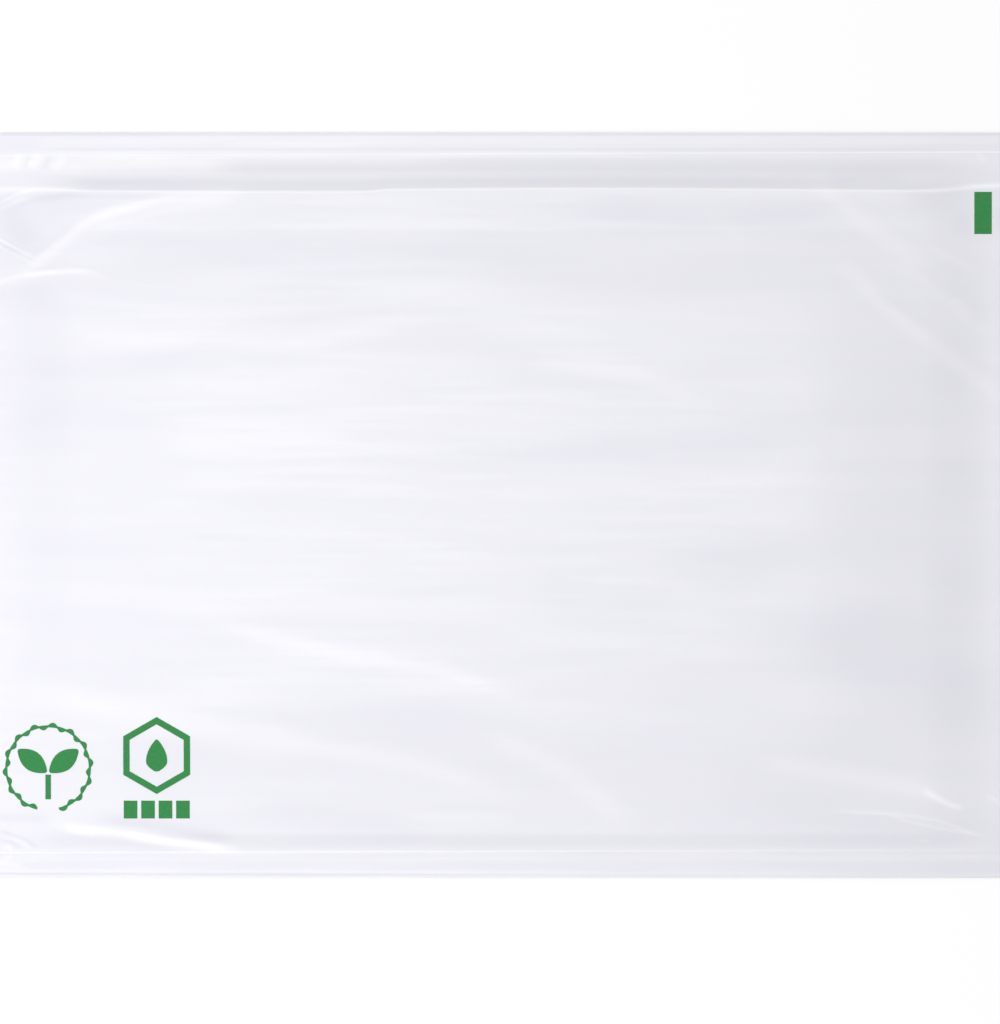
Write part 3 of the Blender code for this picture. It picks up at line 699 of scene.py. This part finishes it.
front_material, nodes, links = new_material("clear_front_film")
tree = front_material.node_tree
shader = nodes["Principled BSDF"]
streaks = place_group(nodes, drawn_grain, length=STREAK_LENGTH, width=STREAK_WIDTH, detail=1.0)
fine = place_group(nodes, drawn_grain, length=FINE_STREAK_LENGTH, width=FINE_STREAK_WIDTH, detail=1.0)
fold_tone = nodes.new("ShaderNodeAttribute")
fold_tone.attribute_name = "film_tone"
tone = fold_tone.outputs["Fac"]
for band in BANDS:
    insets = (band.inner, band.outer) if band.edge == TOP else (band.outer, band.inner)
    softness = (band.soft_inner, band.soft_outer) if band.edge == TOP else (band.soft_outer, band.soft_inner)
    lower, upper = [band.edge * (HALF_HEIGHT - inset * MILLIMETRE) for inset in insets]
    placed = place_group(
        nodes,
        film_band,
        lower=lower,
        upper=upper,
        soft_below=softness[0] * MILLIMETRE,
        soft_above=softness[1] * MILLIMETRE,
        slope=band.slope,
        left_tone=band.left,
        right_tone=band.right,
    )
    tone = math_node(tree, "ADD", tone, placed.outputs["Tone"])
# Tone above zero whitens the film, partly stress whitening and partly painted highlight; below zero it
# darkens it, partly cling and partly painted shade
whitening_and_painted_highlight = math_node(tree, "MULTIPLY", tone, 1.0)
whitening_and_painted_highlight.node.use_clamp = True
cling_and_painted_shade = math_node(tree, "MULTIPLY", tone, -1.0)
cling_and_painted_shade.node.use_clamp = True
streak_share = scaled(tree, streaks.outputs["Grain"], 0.0, FRONT_STREAK_SHARE)
body_colour = mix_colour(tree, streak_share, FILM_COLOUR, FILM_LIGHT_COLOUR)
toned_colour = mix_colour(tree, whitening_and_painted_highlight, body_colour, FILM_LIGHT_COLOUR)
links.new(mix_colour(tree, cling_and_painted_shade, toned_colour, FILM_CLING_AND_SHADE_COLOUR), shader.inputs["Base Color"])
toned = math_node(tree, "ABSOLUTE", tone)
links.new(scaled(tree, toned, FRONT_ALPHA, FRONT_TONED_ALPHA), shader.inputs["Alpha"])
links.new(
    scaled(tree, fine.outputs["Grain"], FRONT_ROUGHNESS_LOW, FRONT_ROUGHNESS_HIGH),
    shader.inputs["Roughness"],
)
relief = math_node(tree, "MULTIPLY", streaks.outputs["Grain"], FRONT_STREAK_RELIEF / FINE_STREAK_RELIEF)
relief = math_node(tree, "ADD", relief, fine.outputs["Grain"])
add_bump(tree, relief, FINE_STREAK_RELIEF, shader)

# The inner face is plain, as the outer one carries the haze, the tones and the gloss of the whole film
inner_material, nodes, links = new_material("clear_film_inner_face")
shader = nodes["Principled BSDF"]
shader.inputs["Base Color"].default_value = (*FILM_COLOUR, 1.0)
shader.inputs["Roughness"].default_value = INNER_FACE_ROUGHNESS
shader.inputs["Alpha"].default_value = INNER_FACE_ALPHA

# The mesh is finest where the corner folds, the welds and the lip are. Reaches are measured from the edges.
EDGE_FOLDS_REACH = 0.010
LEFT_FOLDS_REACH = 0.055
RIGHT_FOLDS_REACH = 0.036
LOWER_FOLDS_REACH = 0.022
UPPER_FOLDS_REACH = 0.034
UPPER_LANES_REACH = 0.064
LIP_APPROACH = 0.004
LEFT_EDGE_STEP = 0.00040
RIGHT_EDGE_STEP = 0.00050
SIDE_FOLDS_STEP = 0.00075
OPEN_COLUMN_STEP = 0.00180
MARGIN_STEP = 0.00060
WELD_FLANK_STEP = 0.00040
WELD_STEP = 0.00050
LOWER_FOLDS_STEP = 0.00050
OPEN_ROW_STEP = 0.00150
UPPER_LANES_STEP = 0.00090
UPPER_FOLDS_STEP = 0.00042
LIP_STEP = 0.00040

front_columns = stations(
    -HALF_WIDTH,
    [
        (-HALF_WIDTH + EDGE_FOLDS_REACH, LEFT_EDGE_STEP),
        (-HALF_WIDTH + LEFT_FOLDS_REACH, SIDE_FOLDS_STEP),
        (HALF_WIDTH - RIGHT_FOLDS_REACH, OPEN_COLUMN_STEP),
        (HALF_WIDTH - EDGE_FOLDS_REACH, SIDE_FOLDS_STEP),
        (HALF_WIDTH, RIGHT_EDGE_STEP),
    ],
)
front_rows = stations(
    -HALF_HEIGHT,
    [
        (BOTTOM_SEAL - HALF_SEAL - LONG_SEAL_WIDTH, MARGIN_STEP),
        (BOTTOM_SEAL - HALF_SEAL, WELD_FLANK_STEP),
        (BOTTOM_SEAL + HALF_SEAL, WELD_STEP),
        (-HALF_HEIGHT + LOWER_FOLDS_REACH, LOWER_FOLDS_STEP),
        (HALF_HEIGHT - UPPER_LANES_REACH, OPEN_ROW_STEP),
        (HALF_HEIGHT - UPPER_FOLDS_REACH, UPPER_LANES_STEP),
        (LOWER_LIP - LIP_APPROACH, UPPER_FOLDS_STEP),
        (LOWER_LIP, LIP_STEP),
        (TOP_SEAL - HALF_SEAL, LIP_STEP),
        (TOP_SEAL + HALF_SEAL, WELD_STEP),
        (TOP_SEAL + HALF_SEAL + LONG_SEAL_WIDTH, WELD_FLANK_STEP),
        (HALF_HEIGHT, MARGIN_STEP),
    ],
)
front_mesh = ply_mesh("front_film_sheet", front_columns, front_rows, front_underside, FILM_THICKNESS)
grid_x, grid_y = np.meshgrid(front_columns, front_rows)
film_tone = fold_field(grid_x, grid_y)[1]
# The lip line gets a painted highlight on top of the folds' tones
lip_ends = ease(SLIT_END - np.abs(grid_x), LIP_END_FADE)
film_tone += LIP_PAINTED_HIGHLIGHT * lip_ends * (1 - ease(np.abs(grid_y - LOWER_LIP), LIP_PAINTED_HIGHLIGHT_REACH))
tone_layer = front_mesh.attributes.new("film_tone", "FLOAT", "POINT")
tone_layer.data.foreach_set("value", np.tile(film_tone.ravel(), 2).astype(np.float32))
front = add_piece("front_film_sheet", front_mesh, front_material, "clear_film", "front_film")
front_mesh.materials.append(inner_material)
for face in front_mesh.polygons:
    face.material_index = int(face.normal.z < 0)


# Green print
# Flexographic ink on the front film: a plain registration block, a wreath with a sprout in it, and a
# six-sided frame with a drop in it over a row of bars. Each field is draped on the film at the ink's own gap.

INK_THICKNESS = 0.00001
INK_GAP = 0.00003
INK_COLOUR = (0.036, 0.238, 0.066)
INK_THIN_COLOUR = (0.044, 0.252, 0.076)
INK_ROUGHNESS = 0.55
INK_SPECULAR = 0.10
MOTTLE_SIZE = 0.0007
MOTTLE_RELIEF = 0.000002
FIELD_SPLITS = 6
NARROW_FIELD_SPLITS = 3
EYE_MARK_STEPS = 20
BAR_COUNT = 4
BAR_STEPS = 8
STEM_STEPS = 10

ink, nodes, links = new_material("green_ink")
shader = nodes["Principled BSDF"]
mottle = place_group(nodes, drawn_grain, length=MOTTLE_SIZE, width=MOTTLE_SIZE, detail=2.0)
links.new(
    mix_colour(ink.node_tree, mottle.outputs["Grain"], INK_COLOUR, INK_THIN_COLOUR),
    shader.inputs["Base Color"],
)
shader.inputs["Roughness"].default_value = INK_ROUGHNESS
shader.inputs["Specular IOR Level"].default_value = INK_SPECULAR
add_bump(ink.node_tree, mottle.outputs["Grain"], MOTTLE_RELIEF, shader)


def print_field(name, cross_lines, closed=False, splits=FIELD_SPLITS):
    """A field of ink on the film. Each cross line is the two ends of one line over the field, and the field
    runs from the first line to the last, or round to the first again."""
    lines = np.array(cross_lines)
    shares = np.linspace(0.0, 1.0, splits + 1)[None, :, None]
    flat = lines[:, :1] * (1 - shares) + lines[:, 1:] * shares
    ribs, points = flat.shape[:2]
    flat = flat.reshape(-1, 2)
    level = front_underside(flat[:, 0], flat[:, 1]) + FILM_THICKNESS + INK_GAP
    low = np.column_stack([flat, level])
    high = low + np.array([0.0, 0.0, INK_THICKNESS])
    index = np.arange(len(low)).reshape(ribs, points)
    following = np.roll(index, -1, axis=0)
    last = ribs if closed else ribs - 1
    quads = np.stack(
        [index[:last, :-1], index[:last, 1:], following[:last, 1:], following[:last, :-1]], axis=-1
    ).reshape(-1, 4)
    edge_a, edge_b, edge_c = low[quads[0, 0]], low[quads[0, 1]], low[quads[0, 2]]
    facing_up = np.cross(edge_b - edge_a, edge_c - edge_b)[2] > 0
    if not facing_up:
        quads = quads[:, ::-1]
    edges = np.stack([quads, np.roll(quads, -1, axis=1)], axis=-1).swapaxes(0, 1).reshape(-1, 2)
    keys = {tuple(edge) for edge in edges.tolist()}
    rim = np.array([edge for edge in edges.tolist() if (edge[1], edge[0]) not in keys])
    walls = np.column_stack([rim[:, 0], rim[:, 1], rim[:, 1] + len(low), rim[:, 0] + len(low)])
    mesh = bpy.data.meshes.new(name + "_print")
    faces = np.concatenate([quads + len(low), quads[:, ::-1], walls])
    mesh.from_pydata(np.concatenate([low, high]).tolist(), [], faces.tolist())
    mesh.shade_smooth()
    mesh.set_sharp_from_angle(angle=math.radians(SHARP_EDGE_DEG))
    add_piece(name + "_print", mesh, ink, "green_ink", name)


def block_lines(low, high, steps):
    """Cross lines of a plain upright block between two corners."""
    heights = np.linspace(low.y, high.y, steps + 1)
    return [((low.x, y), (high.x, y)) for y in heights]


print_field("eye_mark", block_lines(*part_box("eye_mark"), EYE_MARK_STEPS))
for i in range(BAR_COUNT):
    print_field(f"bar_{i + 1}", block_lines(*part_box(f"bar_{i + 1}"), BAR_STEPS))
print_field("sprout_stem", block_lines(*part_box("sprout_stem"), STEM_STEPS), splits=NARROW_FIELD_SPLITS)

# The wreath is a ring that is open at its foot, with its leaves on the outside and the inside by turns
WREATH_BAND = 0.0005
WREATH_LEAF = 0.00065
WREATH_LEAVES = 26
WREATH_OPENING_DEG = 30.0
WREATH_STEPS_PER_LEAF = 10

wreath_low, wreath_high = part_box("wreath")
WREATH_CENTRE_X = (wreath_low.x + wreath_high.x) / 2
WREATH_RADIUS = (wreath_high.x - wreath_low.x) / 2 - WREATH_BAND / 2 - WREATH_LEAF
WREATH_CENTRE_Y = wreath_high.y - WREATH_RADIUS - WREATH_BAND / 2 - WREATH_LEAF

opening = math.radians(WREATH_OPENING_DEG)
wreath_steps = WREATH_LEAVES * WREATH_STEPS_PER_LEAF
wreath_lines = []
for i in range(wreath_steps + 1):
    angle = -math.pi / 2 + opening / 2 + (2 * math.pi - opening) * i / wreath_steps
    turn = math.pi * i / WREATH_STEPS_PER_LEAF
    outer = WREATH_RADIUS + WREATH_BAND / 2 + WREATH_LEAF * max(math.sin(turn), 0.0)
    inner = WREATH_RADIUS - WREATH_BAND / 2 - WREATH_LEAF * max(-math.sin(turn), 0.0)
    wreath_lines.append(
        [
            (WREATH_CENTRE_X + radius * math.cos(angle), WREATH_CENTRE_Y + radius * math.sin(angle))
            for radius in (inner, outer)
        ]
    )
print_field("wreath", wreath_lines, splits=NARROW_FIELD_SPLITS)

# The two leaves of the sprout grow from one joint over the stem. The drop has the same kind of outline.
LEAF_STEPS = 28
LEAF_TIP_SHARE = 0.02
LEAF_FULLNESS = 0.8


def leaf_lines(base_x, base_y, angle, length, width, fullest):
    """Cross lines of a leaf or a drop that starts at its base and is widest at the share called fullest. Both
    tips are cut off blunt, a small share of the length from their points."""
    along = (math.cos(angle), math.sin(angle))
    across = (-along[1], along[0])
    lines = []
    for i in range(LEAF_STEPS + 1):
        share = LEAF_TIP_SHARE + (1 - 2 * LEAF_TIP_SHARE) * i / LEAF_STEPS
        swell = share / fullest if share < fullest else (1 - share) / (1 - fullest)
        half = width / 2 * math.sin(swell * math.pi / 2) ** LEAF_FULLNESS
        x = base_x + along[0] * length * share
        y = base_y + along[1] * length * share
        lines.append([(x + side * across[0] * half, y + side * across[1] * half) for side in (1, -1)])
    return lines


SPROUT_LEAF_LENGTH = 0.0088
SPROUT_LEAF_WIDTH = 0.0046
SPROUT_LEAF_FULLEST = 0.5
SPROUT_LEAF_TILT_DEG = 38.0
SPROUT_JOINT_GAP = 0.0005

_, stem_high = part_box("sprout_stem")
joint_y = stem_high.y + SPROUT_JOINT_GAP
for name, side in (("sprout_leaf_left", -1), ("sprout_leaf_right", 1)):
    tilt = math.radians(SPROUT_LEAF_TILT_DEG)
    angle = tilt if side > 0 else math.pi - tilt
    base_x = WREATH_CENTRE_X + side * SPROUT_JOINT_GAP / 2
    print_field(
        name,
        leaf_lines(base_x, joint_y, angle, SPROUT_LEAF_LENGTH, SPROUT_LEAF_WIDTH, SPROUT_LEAF_FULLEST),
    )

# The six-sided frame stands on a corner, with the drop in the middle of it
FRAME_STROKE = 0.0015
FRAME_SIDES = 6
FRAME_STEPS_PER_SIDE = 8
DROP_LENGTH = 0.0078
DROP_WIDTH = 0.0050
DROP_FULLEST = 0.68

frame_low, frame_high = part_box("frame")
frame_x = (frame_low.x + frame_high.x) / 2
frame_y = (frame_low.y + frame_high.y) / 2
frame_reach = (frame_high.y - frame_low.y) / 2
frame_stroke = FRAME_STROKE / math.cos(math.pi / FRAME_SIDES)
frame_lines = []
for i in range(FRAME_SIDES * FRAME_STEPS_PER_SIDE):
    side, step = divmod(i, FRAME_STEPS_PER_SIDE)
    start, end = [math.pi / 2 + 2 * math.pi * (side + corner) / FRAME_SIDES for corner in (0, 1)]
    share = step / FRAME_STEPS_PER_SIDE
    unit_x = math.cos(start) * (1 - share) + math.cos(end) * share
    unit_y = math.sin(start) * (1 - share) + math.sin(end) * share
    frame_lines.append(
        [
            (frame_x + radius * unit_x, frame_y + radius * unit_y)
            for radius in (frame_reach - frame_stroke, frame_reach)
        ]
    )
print_field("frame", frame_lines, closed=True)
drop_top = frame_y + DROP_LENGTH / 2
print_field("drop", leaf_lines(frame_x, drop_top, -math.pi / 2, DROP_LENGTH, DROP_WIDTH, DROP_FULLEST))


# Studio
# A white table seen from straight above through a long lens. One softbox stands low on the left, a second
# hangs high above the camera, a little to the left, and its reflection veils the film. The table glows to the
# camera and in reflections, so that it stays white, and a dim even fill comes from all round.

FLOOR_SIZE = 3.0
FLOOR_COLOUR = (0.50, 0.50, 0.50)
FLOOR_ROUGHNESS = 0.9
GLOW_LEVEL = 0.505
GLOW_COLOUR = (1.0, 1.0, 1.0)
FILL_LEVEL = 0.540
FILL_COLOUR = (1.0, 1.0, 1.0)
LOW_SOFTBOX_PLACE = (-0.60, -0.20, 0.45)
LOW_SOFTBOX_SIDE = 0.45
LOW_SOFTBOX_POWER = 2.80
HIGH_SOFTBOX_PLACE = (-0.13, 0.08, 2.60)
HIGH_SOFTBOX_SIDE = 0.50
HIGH_SOFTBOX_POWER = 16.9
CAMERA_HEIGHT = 1.60
CAMERA_OFFSET_Y = -0.00153
VIEW_WIDTH = 0.2349
SENSOR_WIDTH = 36.0

floor_mesh = bpy.data.meshes.new("table")
floor_corners = [
    (FLOOR_SIZE / 2 * right, FLOOR_SIZE / 2 * back, 0.0)
    for right, back in ((-1, -1), (1, -1), (1, 1), (-1, 1))
]
floor_mesh.from_pydata(floor_corners, [], [(0, 1, 2, 3)])
floor_material, nodes, links = new_material("white_table")
tree = floor_material.node_tree
shader = nodes["Principled BSDF"]
shader.inputs["Base Color"].default_value = (*FLOOR_COLOUR, 1.0)
shader.inputs["Roughness"].default_value = FLOOR_ROUGHNESS
shader.inputs["Specular IOR Level"].default_value = 0.0
light_path = nodes.new("ShaderNodeLightPath")
seen = math_node(tree, "MAXIMUM", light_path.outputs["Is Camera Ray"], light_path.outputs["Is Glossy Ray"])
shader.inputs["Emission Color"].default_value = (*GLOW_COLOUR, 1.0)
links.new(math_node(tree, "MULTIPLY", seen, GLOW_LEVEL), shader.inputs["Emission Strength"])
floor_mesh.materials.append(floor_material)
floor = bpy.data.objects.new("floor", floor_mesh)
bpy.context.scene.collection.objects.link(floor)

world = bpy.data.worlds.new("studio_fill")
world.use_nodes = True
bpy.context.scene.world = world
background = world.node_tree.nodes["Background"]
background.inputs["Color"].default_value = (*FILL_COLOUR, 1.0)
background.inputs["Strength"].default_value = FILL_LEVEL


def add_softbox(name, place, side, power):
    """A square softbox that faces the middle of the envelope."""
    lamp = bpy.data.lights.new(name, "AREA")
    lamp.shape = "SQUARE"
    lamp.size = side
    lamp.energy = power
    box = bpy.data.objects.new(name, lamp)
    box.location = place
    box.rotation_euler = (-Vector(place)).to_track_quat("-Z", "Y").to_euler()
    bpy.context.scene.collection.objects.link(box)


add_softbox("low_softbox", LOW_SOFTBOX_PLACE, LOW_SOFTBOX_SIDE, LOW_SOFTBOX_POWER)
add_softbox("high_softbox", HIGH_SOFTBOX_PLACE, HIGH_SOFTBOX_SIDE, HIGH_SOFTBOX_POWER)

camera_data = bpy.data.cameras.new("overhead_camera")
camera_data.sensor_fit = "HORIZONTAL"
camera_data.sensor_width = SENSOR_WIDTH
camera_data.lens = SENSOR_WIDTH * CAMERA_HEIGHT / VIEW_WIDTH
camera = bpy.data.objects.new("overhead_camera", camera_data)
camera.location = (0.0, CAMERA_OFFSET_Y, CAMERA_HEIGHT)
bpy.context.scene.collection.objects.link(camera)
bpy.context.scene.camera = camera
bpy.context.scene.view_settings.view_transform = "Standard"
